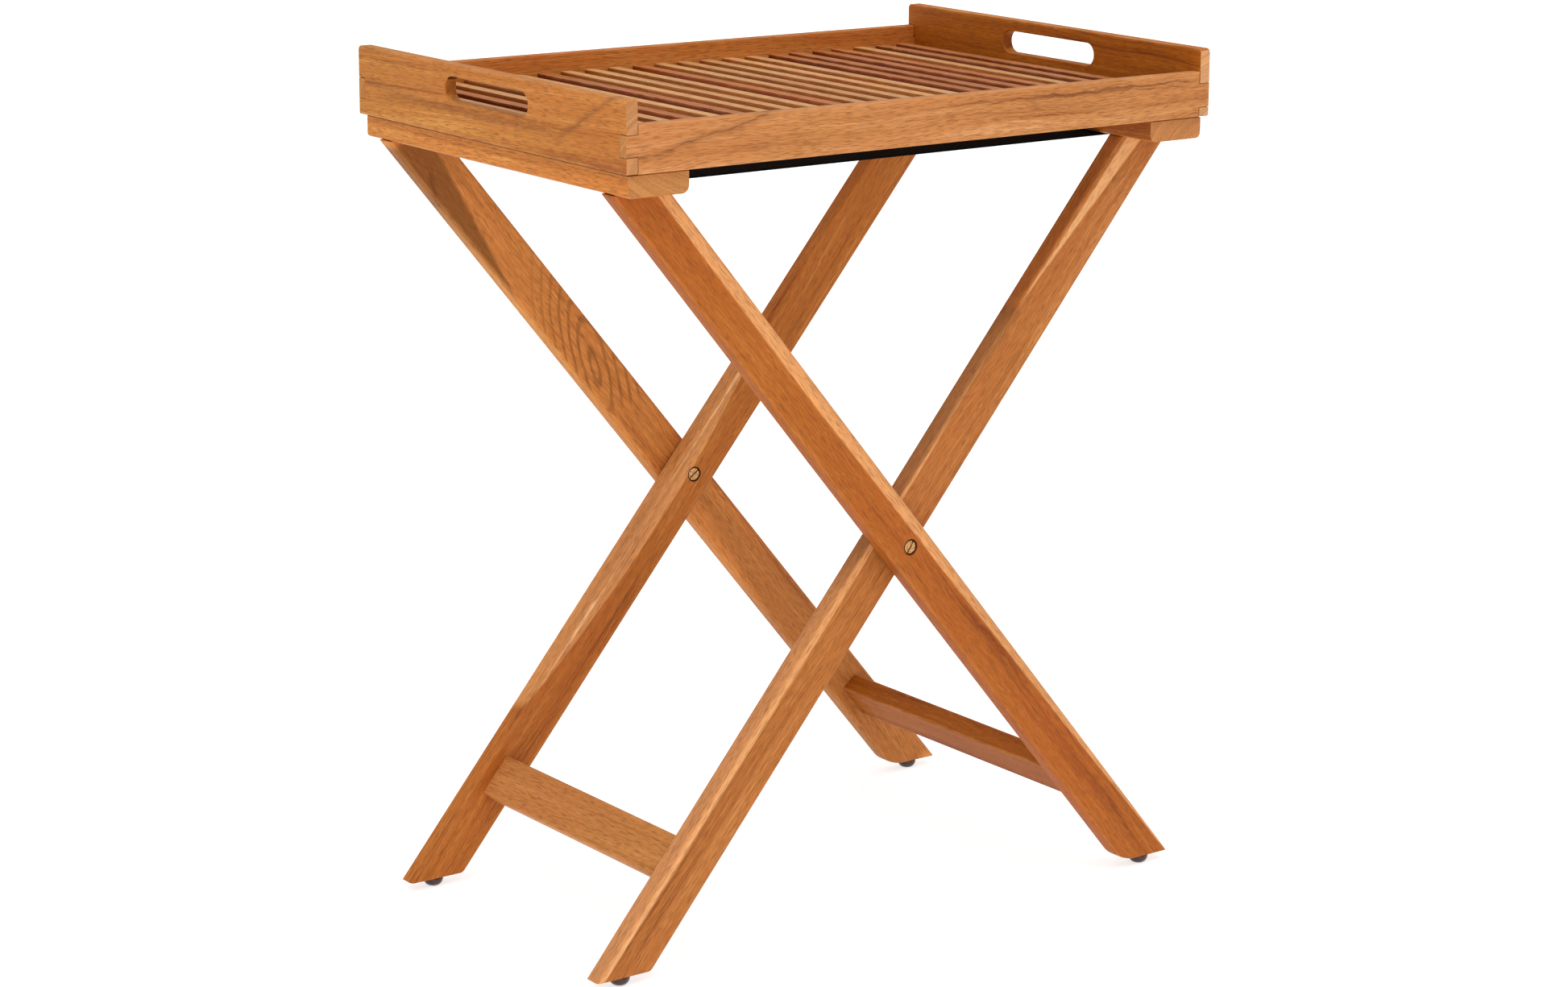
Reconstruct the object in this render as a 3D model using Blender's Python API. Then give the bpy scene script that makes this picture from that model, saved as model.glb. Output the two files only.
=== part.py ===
"""Folding tray table: a slatted tray with a handle slot at each end, loose on a crossed folding stand.

Metres, +Z up. X runs along the tray, Y across it, and the floor is Z = 0. The stand is two frames
that cross on one axis along Y: the outer frame leans to the left, the inner frame to the right.
"""
import math

import bmesh
import bpy
from mathutils import Matrix, Vector

GAP = 0.0003  # between pieces that touch

# tray
TRAY_LENGTH = 0.650
TRAY_WIDTH = 0.440
TRAY_Z = 0.735  # underside of the tray
END_THICK = 0.012
END_HEIGHT = 0.063
END_CORNER = 0.004
SIDE_THICK = 0.010
SIDE_HEIGHT = 0.042
FINGER_LOW = 0.016  # the side's finger through the end panel
FINGER_HIGH = 0.0335
EDGE_EASE = 0.0012
SLOT_LENGTH = 0.136
SLOT_HEIGHT = 0.0215
SLOT_Z = 0.041
SLAT_COUNT = 23
SLAT_WIDTH = 0.012
SLAT_PITCH = 0.0267
SLAT_THICK = 0.008
SLAT_TOP = 0.025
LEDGER_WIDTH = 0.012
LEDGER_HEIGHT = 0.011

# stand
PIVOT_Z = 0.3635
LEG_ANGLE = math.radians(50.2)
LEG_WIDTH = 0.045
LEG_THICK = 0.0205
LEG_ROUND = 0.0045
LEG_CUT_Z = 0.009  # the flat cut at the foot
OUTER_HEEL_ROUND = 0.030
INNER_HEEL_ROUND = 0.005
OUTER_FACE_Y = 0.194  # outside of the outer legs
LEG_GAP = 0.0035  # between an outer and an inner leg
RAIL_LENGTH = 0.430
RAIL_WIDTH = 0.062
RAIL_THICK = 0.0195
RAIL_OUTER_X = 0.320
RAIL_ROUND = 0.007  # lower edge on the inside
RAIL_OUTER_ROUND = 0.003  # lower edge on the outside
RAIL_EASE = 0.0022  # upper edges
TRAY_CLEAR = 0.0013  # between the loose tray and the rails
STRETCHER_NEAR = 0.329  # along the leg from the pivot
STRETCHER_WIDTH = 0.042
STRETCHER_THICK = 0.0205
TENON_LONG = 0.012
TENON_THICK = 0.009
TENON_WIDE = 0.028

# hardware and webbing
HEAD_R = 0.0064
BORE_R = 0.0070
HEAD_THICK = 0.0024
HEAD_RECESS = 0.0008
SLEEVE_R = 0.0042
LEG_BORE_R = 0.00428
BOLT_R = 0.0029
SLOT_WIDE = 0.0014
WASHER_R = 0.0085
GLIDE_R = 0.0095
GLIDE_PIN_R = 0.0030
GLIDE_PIN = 0.014
SCREW_HEAD_R = 0.0042
SCREW_R = 0.0020
SCREW_LONG = 0.040
STRAP_WIDTH = 0.038
STRAP_THICK = 0.0018
STRAP_EDGE_Y = 0.141
STRAP_LAP = 0.048  # how far a strap runs on under a rail

TEAK = (0.60, 0.31, 0.13)
TEAK_PALE = (0.74, 0.47, 0.25)
TEAK_DARK = (0.47, 0.22, 0.09)
BRASS = (0.66, 0.50, 0.22)


def material(name, colour, roughness, metallic=0.0):
    m = bpy.data.materials.new(name)
    m.use_nodes = True
    shader = m.node_tree.nodes["Principled BSDF"]
    shader.inputs["Base Color"].default_value = (*colour, 1.0)
    shader.inputs["Roughness"].default_value = roughness
    shader.inputs["Metallic"].default_value = metallic
    m.diffuse_color = (*colour, 1.0)
    return m


def put(name, bm, look, origin=(0.0, 0.0, 0.0), smooth=None):
    """One named part from a bmesh made in world coordinates, with its own origin and material."""
    bmesh.ops.remove_doubles(bm, verts=bm.verts, dist=1e-6)
    bmesh.ops.recalc_face_normals(bm, faces=bm.faces)
    bmesh.ops.translate(bm, verts=bm.verts, vec=-Vector(origin))
    mesh = bpy.data.meshes.new(name)
    bm.to_mesh(mesh)
    bm.free()
    part = bpy.data.objects.new(name, mesh)
    part.location = origin
    bpy.context.collection.objects.link(part)
    part.data.materials.append(material("mat_" + name, *look))
    if smooth:
        part.data.shade_smooth()
        part.data.set_sharp_from_angle(angle=math.radians(smooth))
    return part


def prism(outline, axis, low, high):
    """A closed prism: an outline of (a, b) points drawn across `axis`, from low to high along it."""
    order = {"X": lambda a, b, t: (t, a, b), "Y": lambda a, b, t: (a, t, b),
             "Z": lambda a, b, t: (a, b, t)}[axis]
    bm = bmesh.new()
    rings = [[bm.verts.new(order(a, b, t)) for a, b in outline] for t in (low, high)]
    bm.faces.new(rings[0])
    bm.faces.new(rings[1])
    for i in range(len(outline)):
        j = (i + 1) % len(outline)
        bm.faces.new((rings[0][i], rings[0][j], rings[1][j], rings[1][i]))
    bmesh.ops.recalc_face_normals(bm, faces=bm.faces)
    return bm


def box(x0, x1, y0, y1, z0, z1):
    return prism([(x0, y0), (x1, y0), (x1, y1), (x0, y1)], "Z", z0, z1)


def rounded(outline, radii, steps=5):
    """The outline with each corner i replaced by an arc of radius radii[i] (0 keeps it sharp)."""
    out = []
    for i, corner in enumerate(outline):
        corner = Vector(corner)
        r = radii[i]
        if not r:
            out.append(tuple(corner))
            continue
        a = (Vector(outline[i - 1]) - corner).normalized()
        b = (Vector(outline[(i + 1) % len(outline)]) - corner).normalized()
        half = a.angle(b) / 2
        centre = corner + (a + b).normalized() * r / math.sin(half)
        start = corner + a * r / math.tan(half) - centre
        end = corner + b * r / math.tan(half) - centre
        turn = start.angle_signed(end)
        for k in range(steps + 1):
            c, s = math.cos(-turn * k / steps), math.sin(-turn * k / steps)
            out.append((centre.x + start.x * c - start.y * s, centre.y + start.x * s + start.y * c))
    return out


def circle(r, x=0.0, z=0.0, count=32):
    return [(x + r * math.cos(2 * math.pi * k / count), z + r * math.sin(2 * math.pi * k / count))
            for k in range(count)]


def turned(profile, count=32):
    """A solid of revolution about Z from (radius, height) points that start and end on the axis."""
    bm = bmesh.new()
    rings = []
    for r, z in profile:
        if r < 1e-9:
            rings.append([bm.verts.new((0, 0, z))] * count)
        else:
            rings.append([bm.verts.new((x, y, z)) for x, y in circle(r, count=count)])
    for low, high in zip(rings, rings[1:]):
        for k in range(count):
            ring = [low[k], low[(k + 1) % count], high[(k + 1) % count], high[k]]
            bm.faces.new(list(dict.fromkeys(ring)))
    bmesh.ops.recalc_face_normals(bm, faces=bm.faces)
    return bm


def combine(base, tool, how):
    """The exact boolean of two bmeshes, as a new bmesh. Both are used up."""
    pair = []
    for bm in (base, tool):
        mesh = bpy.data.meshes.new("shape")
        bm.to_mesh(mesh)
        bm.free()
        item = bpy.data.objects.new("shape", mesh)
        bpy.context.collection.objects.link(item)
        pair.append(item)
    step = pair[0].modifiers.new("cut", "BOOLEAN")
    step.operation, step.solver, step.object = how, "EXACT", pair[1]
    result = bmesh.new()
    result.from_object(pair[0], bpy.context.evaluated_depsgraph_get())
    for item in pair:
        bpy.data.objects.remove(item)
    bmesh.ops.dissolve_limit(result, angle_limit=math.radians(0.05), verts=result.verts, edges=result.edges)
    return result


def ease(bm, width, wanted, segments=2):
    """Round over the edges whose two ends and two face normals satisfy wanted(a, b, n1, n2)."""
    edges = [e for e in bm.edges if len(e.link_faces) == 2
             and wanted(e.verts[0].co, e.verts[1].co, e.link_faces[0].normal, e.link_faces[1].normal)]
    bmesh.ops.bevel(bm, geom=edges, offset=width, segments=segments, profile=0.5, affect="EDGES",
                    clamp_overlap=True)
    return bm


# ---- tray -------------------------------------------------------------------------------------

def stadium(length, height, z, count=10):
    r, half = height / 2, length / 2 - height / 2
    right = [(half + r * math.sin(math.pi * k / count), z - r * math.cos(math.pi * k / count))
             for k in range(count + 1)]
    return right + [(-y, 2 * z - h) for y, h in right]


def tray_end(name, side):
    """End panel with a handle slot, notched at each end for the finger of the long side."""
    y, z = TRAY_WIDTH / 2, TRAY_Z
    deep = y - SIDE_THICK - GAP
    low, high = z + FINGER_LOW - GAP / 2, z + FINGER_HIGH + GAP / 2
    outline = [(-y, z), (y, z), (y, low), (deep, low), (deep, high), (y, high), (y, z + END_HEIGHT),
               (-y, z + END_HEIGHT), (-y, high), (-deep, high), (-deep, low), (-y, low)]
    radii = [0] * 6 + [END_CORNER] * 2 + [0] * 4
    x0, x1 = sorted((side * TRAY_LENGTH / 2, side * (TRAY_LENGTH / 2 - END_THICK)))
    bm = prism(rounded(outline, radii, 4), "X", x0, x1)
    top = z + END_HEIGHT - END_CORNER - 1e-5
    ease(bm, EDGE_EASE, lambda a, b, n, m: min(a.z, b.z) > top and abs(a.x - b.x) < 1e-6
         and max(abs(n.x), abs(m.x)) > 0.9)
    hole = prism(stadium(SLOT_LENGTH, SLOT_HEIGHT, z + SLOT_Z), "X", x0 - 0.01, x1 + 0.01)
    return put(name, combine(bm, hole, "DIFFERENCE"), (TEAK, 0.5), (side * TRAY_LENGTH / 2, 0, z), 30)


def tray_side(name, side):
    """Long side, with a finger at each end that shows on the outside of the end panel."""
    inner = TRAY_LENGTH / 2 - END_THICK - GAP
    full = TRAY_LENGTH / 2
    z = TRAY_Z
    low, high, top = z + FINGER_LOW + GAP / 2, z + FINGER_HIGH - GAP / 2, z + SIDE_HEIGHT
    half = [(inner, z), (inner, low), (full, low), (full, high), (inner, high), (inner, top)]
    outline = half + [(-x, h) for x, h in reversed(half)]
    y0, y1 = sorted((side * TRAY_WIDTH / 2, side * (TRAY_WIDTH / 2 - SIDE_THICK)))
    bm = prism(outline, "Y", y0, y1)
    ease(bm, EDGE_EASE, lambda a, b, n, m: min(a.z, b.z) > top - 1e-5 and abs(a.y - b.y) < 1e-6)
    return put(name, bm, (TEAK, 0.5), (0, side * TRAY_WIDTH / 2, z), 30)


def build_tray():
    tray_end("tray_end_left", -1)
    tray_end("tray_end_right", 1)
    tray_side("tray_side_front", -1)
    tray_side("tray_side_back", 1)
    inside_x = TRAY_LENGTH / 2 - END_THICK - GAP
    inside_y = TRAY_WIDTH / 2 - SIDE_THICK - GAP
    top = TRAY_Z + SLAT_TOP - SLAT_THICK - GAP
    for name, side in (("tray_ledger_front", -1), ("tray_ledger_back", 1)):
        y0, y1 = sorted((side * inside_y, side * (inside_y - LEDGER_WIDTH)))
        bm = box(-inside_x, inside_x, y0, y1, top - LEDGER_HEIGHT, top)
        put(name, bm, (TEAK_DARK, 0.6), (0, side * inside_y, top))
    for k in range(SLAT_COUNT):
        x = (k - (SLAT_COUNT - 1) / 2) * SLAT_PITCH
        bm = box(x - SLAT_WIDTH / 2, x + SLAT_WIDTH / 2, -inside_y, inside_y,
                 TRAY_Z + SLAT_TOP - SLAT_THICK, TRAY_Z + SLAT_TOP)
        ease(bm, EDGE_EASE, lambda a, b, n, m: min(a.z, b.z) > TRAY_Z + SLAT_TOP - 1e-5
             and abs(a.x - b.x) < 1e-6)
        put(f"tray_slat_{k + 1:02d}", bm, (TEAK_PALE, 0.55), (x, 0, TRAY_Z + SLAT_TOP))


# ---- stand ------------------------------------------------------------------------------------
# A leg is drawn in its own frame: s runs down the leg from the pivot, n across it to its upper edge.
# lean = 1 is the outer frame, top left to bottom right; lean = -1 is the inner frame, its mirror.

RAIL_Z = TRAY_Z - TRAY_CLEAR - RAIL_THICK  # underside of the top rails


def leg_frame(lean):
    """Puts something made along X (down the leg), Y, Z (across the leg) where the leg is."""
    c, d = math.cos(LEG_ANGLE), math.sin(LEG_ANGLE)
    return Matrix(((lean * c, 0, lean * d, 0), (0, 1, 0, 0), (-d, 0, c, PIVOT_Z), (0, 0, 0, 1)))


def placed(bm, matrix):
    bmesh.ops.transform(bm, matrix=matrix, verts=bm.verts)
    bmesh.ops.recalc_face_normals(bm, faces=bm.faces)
    return bm


def leg_ys(inner, side):
    """(outer face, inner face) of a leg, as Y of the side it is on."""
    outside = OUTER_FACE_Y - (LEG_THICK + LEG_GAP if inner else 0.0)
    return side * outside, side * (outside - LEG_THICK)


def leg(name, inner, side):
    lean = -1 if inner else 1
    y_out, y_in = leg_ys(inner, side)
    y0, y1 = sorted((y_out, y_in))
    half, reach = LEG_WIDTH / 2, 0.50
    section = rounded([(y0, -half), (y1, -half), (y1, half), (y0, half)], [LEG_ROUND] * 4, 4)
    bm = placed(prism(section, "X", -reach, reach), leg_frame(lean))
    # side view: the leg between the rail and the floor cut, flush with the rail, its heel rounded
    slope = 1 / math.tan(LEG_ANGLE)
    wide = half / math.sin(LEG_ANGLE)
    top, low = RAIL_Z - GAP, LEG_CUT_Z
    mid_top, mid_low = -lean * (top - PIVOT_Z) * slope, lean * (PIVOT_Z - low) * slope
    heel, toe = mid_low - lean * wide, mid_low + lean * wide
    past = lean * 0.003
    flush = -lean * RAIL_OUTER_X  # where the leg would stand out past the rail it is cut off
    trim = top - (abs(mid_top - lean * wide) - RAIL_OUTER_X) / slope
    outline = [(flush, top), (flush, trim), (heel, low), (toe + past, low), (toe + past, low + 0.001),
               (mid_top + lean * wide + past, top)]
    heel_round = INNER_HEEL_ROUND if inner else OUTER_HEEL_ROUND
    outline = rounded(outline, [0, 0, heel_round, 0, 0, 0], 6)
    bm = combine(bm, prism(outline, "Y", y0 - 0.01, y1 + 0.01), "INTERSECT")
    # pivot bore, counterbored on the side where a head shows
    head = y_in if inner else y_out
    inward = (1 if head < 0 else -1) * (-1 if inner else 1)
    bore = prism(circle(LEG_BORE_R, 0, PIVOT_Z), "Y", y0 - 0.01, y1 + 0.01)
    bm = combine(bm, bore, "DIFFERENCE")
    a, b = sorted((head - inward * 0.01, head + inward * (HEAD_THICK + HEAD_RECESS + GAP)))
    bm = combine(bm, prism(circle(BORE_R, 0, PIVOT_Z), "Y", a, b), "DIFFERENCE")
    # mortise for the stretcher, in the face that looks to the middle
    middle = STRETCHER_NEAR + STRETCHER_WIDTH / 2
    tw, tt = TENON_WIDE / 2 + GAP, TENON_THICK / 2 + GAP
    c, d = sorted((y_in - side * 0.01, y_in + side * (TENON_LONG + GAP)))
    bm = combine(bm, placed(box(middle - tw, middle + tw, c, d, -tt, tt), leg_frame(lean)), "DIFFERENCE")
    # pilot holes for the two rail screws and the hole for the glide's pin
    for x in rail_screw_xs(lean):
        hole = prism(circle(SCREW_R + GAP, x, (y0 + y1) / 2, 12), "Z", RAIL_Z - SCREW_LONG, RAIL_Z + 0.01)
        bm = combine(bm, hole, "DIFFERENCE")
    pin = circle(GLIDE_PIN_R + GAP, mid_low, (y0 + y1) / 2, 16)
    pin = prism(pin, "Z", -0.01, LEG_CUT_Z + GLIDE_PIN + GAP)
    bm = combine(bm, pin, "DIFFERENCE")
    return put(name, bm, (TEAK, 0.5), (0, (y0 + y1) / 2, PIVOT_Z), 35)


def rail_screw_xs(lean):
    centre = -lean * (RAIL_Z - PIVOT_Z) / math.tan(LEG_ANGLE)
    return (centre - 0.011, centre + 0.011)


def rail(name, lean):
    """Top rail: a flat plank across the leg tops, its inner lower edge well rounded."""
    x0, x1 = sorted((-lean * RAIL_OUTER_X, -lean * (RAIL_OUTER_X - RAIL_WIDTH)))
    z0, z1 = RAIL_Z, RAIL_Z + RAIL_THICK
    lower = [RAIL_OUTER_ROUND, RAIL_ROUND][::1 if lean > 0 else -1]
    ring = rounded([(x0, z0), (x1, z0), (x1, z1), (x0, z1)], lower + [RAIL_EASE, RAIL_EASE], 4)
    bm = prism(ring, "Y", -RAIL_LENGTH / 2, RAIL_LENGTH / 2)
    inner = lean < 0
    for side in (-1, 1):
        y = sum(leg_ys(inner, side)) / 2
        for x in rail_screw_xs(lean):
            cone = turned([(0, -0.03), (SCREW_R + 2 * GAP, -0.03), (SCREW_R + 2 * GAP, -SCREW_HEAD_R),
                           (SCREW_HEAD_R + 2 * GAP, -GAP), (SCREW_HEAD_R + 2 * GAP, 0.01), (0, 0.01)], 16)
            bm = combine(bm, placed(cone, Matrix.Translation((x, y, z1))), "DIFFERENCE")
    return put(name, bm, (TEAK, 0.5), (0, 0, PIVOT_Z), 35)


def stretcher(name, inner):
    lean = -1 if inner else 1
    y = abs(leg_ys(inner, 1)[1]) - GAP
    s0, s1 = STRETCHER_NEAR, STRETCHER_NEAR + STRETCHER_WIDTH
    t = STRETCHER_THICK / 2
    section = rounded([(s0, -t), (s1, -t), (s1, t), (s0, t)], [0.002] * 4, 2)
    bm = prism(section, "Y", -y, y)
    middle = (s0 + s1) / 2
    tenon = box(middle - TENON_WIDE / 2, middle + TENON_WIDE / 2, -y - TENON_LONG, y + TENON_LONG,
                -TENON_THICK / 2, TENON_THICK / 2)
    bm = combine(bm, tenon, "UNION")
    return put(name, placed(bm, leg_frame(lean)), (TEAK, 0.5), (0, 0, PIVOT_Z), 35)


def rail_screw(name, x, y):
    top = RAIL_Z + RAIL_THICK - GAP
    bm = turned([(0, -SCREW_LONG), (SCREW_R * 0.5, -SCREW_LONG + 0.002), (SCREW_R, -SCREW_LONG + 0.006),
                 (SCREW_R, -SCREW_HEAD_R - GAP), (SCREW_HEAD_R, -GAP), (SCREW_HEAD_R, 0), (0, 0)], 16)
    slot = box(-0.006, 0.006, -0.0005, 0.0005, -0.0009, 0.002)
    bm = combine(bm, slot, "DIFFERENCE")
    bm = placed(bm, Matrix.Translation((x, y, top)))
    return put(name, bm, (BRASS, 0.35, 1.0), (x, y, top), 30)


def pivot_set(word, side):
    """Slotted bolt from outside, slotted sleeve nut from inside, and a spacer ring between the legs."""
    brass = (BRASS, 0.35, 1.0)
    y_bolt = side * (OUTER_FACE_Y - HEAD_RECESS)
    y_nut = side * (leg_ys(True, 1)[1] + HEAD_RECESS)
    span = abs(y_bolt - y_nut)
    # built along +Z with the head's outside at 0, then laid along Y
    shank = 0.030
    head = [(0, 0), (HEAD_R - 0.0005, 0), (HEAD_R, 0.0006), (HEAD_R, HEAD_THICK)]
    bolt = turned([*head, (BOLT_R, HEAD_THICK), (BOLT_R, shank), (0, shank)])
    bolt = combine(bolt, placed(box(-0.01, 0.01, -SLOT_WIDE / 2, SLOT_WIDE / 2, -0.01, 0.0012),
                                Matrix.Rotation(math.radians(-50), 4, "Z")), "DIFFERENCE")
    end = span - HEAD_THICK - 2 * GAP
    bore, bottom = BOLT_R + GAP, span - shank - 4 * GAP
    nut = turned([*head, (SLEEVE_R, HEAD_THICK), (SLEEVE_R, end), (bore, end), (bore, bottom), (0, bottom)])
    nut = combine(nut, placed(box(-0.01, 0.01, -SLOT_WIDE / 2, SLOT_WIDE / 2, -0.01, 0.0012),
                              Matrix.Rotation(math.radians(-12), 4, "Z")), "DIFFERENCE")
    lay = Matrix.Rotation(math.radians(90 * side), 4, "X")  # +Z runs to the middle of the stand
    back = Matrix.Rotation(math.radians(-90 * side), 4, "X")
    at = Matrix.Translation
    put("pivot_bolt_" + word, placed(bolt, at((0, y_bolt, PIVOT_Z)) @ lay), brass, (0, y_bolt, PIVOT_Z), 30)
    put("pivot_nut_" + word, placed(nut, at((0, y_nut, PIVOT_Z)) @ back), brass, (0, y_nut, PIVOT_Z), 30)
    y_mid = side * (OUTER_FACE_Y - LEG_THICK - LEG_GAP / 2)
    thick = LEG_GAP / 2 - GAP
    hole = SLEEVE_R + GAP
    ring = prism(circle(WASHER_R, 0, PIVOT_Z), "Y", y_mid - thick, y_mid + thick)
    ring = combine(ring, prism(circle(hole, 0, PIVOT_Z), "Y", y_mid - 0.01, y_mid + 0.01), "DIFFERENCE")
    put("pivot_washer_" + word, ring, brass, (0, y_mid, PIVOT_Z), 30)


def glide(name, inner, side):
    """Domed foot glide with a small flat to stand on and a pin up into the leg."""
    lean = -1 if inner else 1
    x = lean * (PIVOT_Z - LEG_CUT_Z) / math.tan(LEG_ANGLE)
    y = sum(leg_ys(inner, side)) / 2
    top, r, flat = LEG_CUT_Z - GAP, GLIDE_R, 0.0035
    dome = [(flat, 0.0)]
    for k in range(1, 7):
        a = math.radians(90 * k / 6)
        dome.append((flat + (r - flat) * math.sin(a), (top - 0.0012) * (1 - math.cos(a))))
    pin = [(r, top), (GLIDE_PIN_R, top), (GLIDE_PIN_R, top + GLIDE_PIN - 0.002),
           (GLIDE_PIN_R * 0.5, top + GLIDE_PIN), (0, top + GLIDE_PIN)]
    bm = turned([(0, 0), *dome, *pin])
    put(name, placed(bm, Matrix.Translation((x, y, 0))), ((0.045, 0.022, 0.015), 0.35), (x, y, top), 40)


def strap(name, side):
    """Webbing pulled taut under the two rails: it stops the stand opening any further."""
    x = RAIL_OUTER_X - RAIL_WIDTH + STRAP_LAP
    y0, y1 = sorted((side * STRAP_EDGE_Y, side * (STRAP_EDGE_Y - STRAP_WIDTH)))
    top = RAIL_Z - GAP
    bm = box(-x, x, y0, y1, top - STRAP_THICK, top)
    put(name, bm, ((0.012, 0.012, 0.013), 0.9), (0, (y0 + y1) / 2, top))


def build_stand():
    for word, inner, lean in (("outer", False, 1), ("inner", True, -1)):
        rail(word + "_rail", lean)
        stretcher(word + "_stretcher", inner)
        for place, side in (("front", -1), ("back", 1)):
            leg(f"{word}_leg_{place}", inner, side)
            glide(f"{word}_glide_{place}", inner, side)
            y = sum(leg_ys(inner, side)) / 2
            for count, x in enumerate(rail_screw_xs(lean), 1):
                rail_screw(f"{word}_screw_{place}_{count}", x, y)
    for place, side in (("front", -1), ("back", 1)):
        pivot_set(place, side)
        strap("strap_" + place, side)


for old in list(bpy.data.objects):
    bpy.data.objects.remove(old)
build_tray()
build_stand()
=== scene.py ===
"""Looks of the folding tray table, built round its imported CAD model.

Metres, +Z up. Every wooden piece is made in its own grain frame: local X runs along the grain,
Y across the board's width and Z through its thickness. Its teak is a solid procedural wood in that
frame, so the figure runs through from face to face and shows as end grain where the board is cut.
"""

import math
import random
from collections import namedtuple

import bmesh
import bpy
from mathutils import Matrix, Vector


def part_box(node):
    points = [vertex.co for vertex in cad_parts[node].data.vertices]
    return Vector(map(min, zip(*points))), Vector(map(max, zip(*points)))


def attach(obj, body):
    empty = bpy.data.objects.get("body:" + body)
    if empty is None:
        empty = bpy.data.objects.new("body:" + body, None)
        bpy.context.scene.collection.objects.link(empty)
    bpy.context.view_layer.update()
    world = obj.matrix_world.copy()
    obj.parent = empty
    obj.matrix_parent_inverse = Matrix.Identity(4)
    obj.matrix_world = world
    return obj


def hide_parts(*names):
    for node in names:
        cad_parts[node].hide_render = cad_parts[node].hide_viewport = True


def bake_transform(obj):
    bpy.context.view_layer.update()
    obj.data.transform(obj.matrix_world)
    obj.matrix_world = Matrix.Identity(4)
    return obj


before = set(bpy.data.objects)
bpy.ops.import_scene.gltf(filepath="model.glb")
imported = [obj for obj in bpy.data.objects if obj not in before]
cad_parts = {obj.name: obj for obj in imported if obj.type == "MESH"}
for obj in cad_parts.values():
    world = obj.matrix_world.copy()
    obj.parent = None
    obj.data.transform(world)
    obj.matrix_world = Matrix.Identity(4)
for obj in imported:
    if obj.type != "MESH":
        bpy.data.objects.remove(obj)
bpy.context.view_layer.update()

PIVOT_Z = (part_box("pivot_bolt_front")[0].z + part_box("pivot_bolt_front")[1].z) / 2
LEG_ANGLE = math.radians(50.2)
LEG_WIDTH = 0.045
LEG_ROUND = 0.0042
LEG_BORE_R, COUNTERBORE_R, COUNTERBORE_DEEP = 0.00428, 0.0070, 0.0035
STRETCHER_WIDTH, STRETCHER_THICK = 0.042, 0.0205
HEAD_R, HEAD_THICK, HEAD_SLOT_WIDE, HEAD_SLOT_DEEP = 0.0062, 0.0024, 0.0016, 0.0018
HEEL_ROUND = {"outer": 0.030, "inner": 0.0065}
# the long side's finger at each end, as heights above the tray's underside
FINGERS = {"left": (0.0145, 0.0335), "right": (0.0085, 0.0310)}
HANDLE_LENGTH, HANDLE_HEIGHT, HANDLE_Z = 0.136, 0.0215, 0.041
RAIL_OUTER_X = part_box("inner_rail")[1].x
GAP = 0.0003

TEAK_DARK = (0.250, 0.064, 0.010)
TEAK_MID = (0.520, 0.190, 0.036)
TEAK_LIGHT = (0.690, 0.305, 0.082)
MINERAL = (0.150, 0.042, 0.012)
SAPWOOD = (0.800, 0.365, 0.135)
GROWTH_DARK = (0.200, 0.070, 0.016)
# painted shade of the counterbore round the pivot's bore
BORE_SHADE = (0.050, 0.010, 0.004)
# greyish pink: partly dry wood, partly a painted sheen
DRY_WOOD_AND_SHEEN = (0.50, 0.33, 0.21)
# painted highlight along the legs' rounded arris
ARRIS_HIGHLIGHT = (0.86, 0.50, 0.24)


# ---- shader building ---------------------------------------------------------------------------

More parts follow.
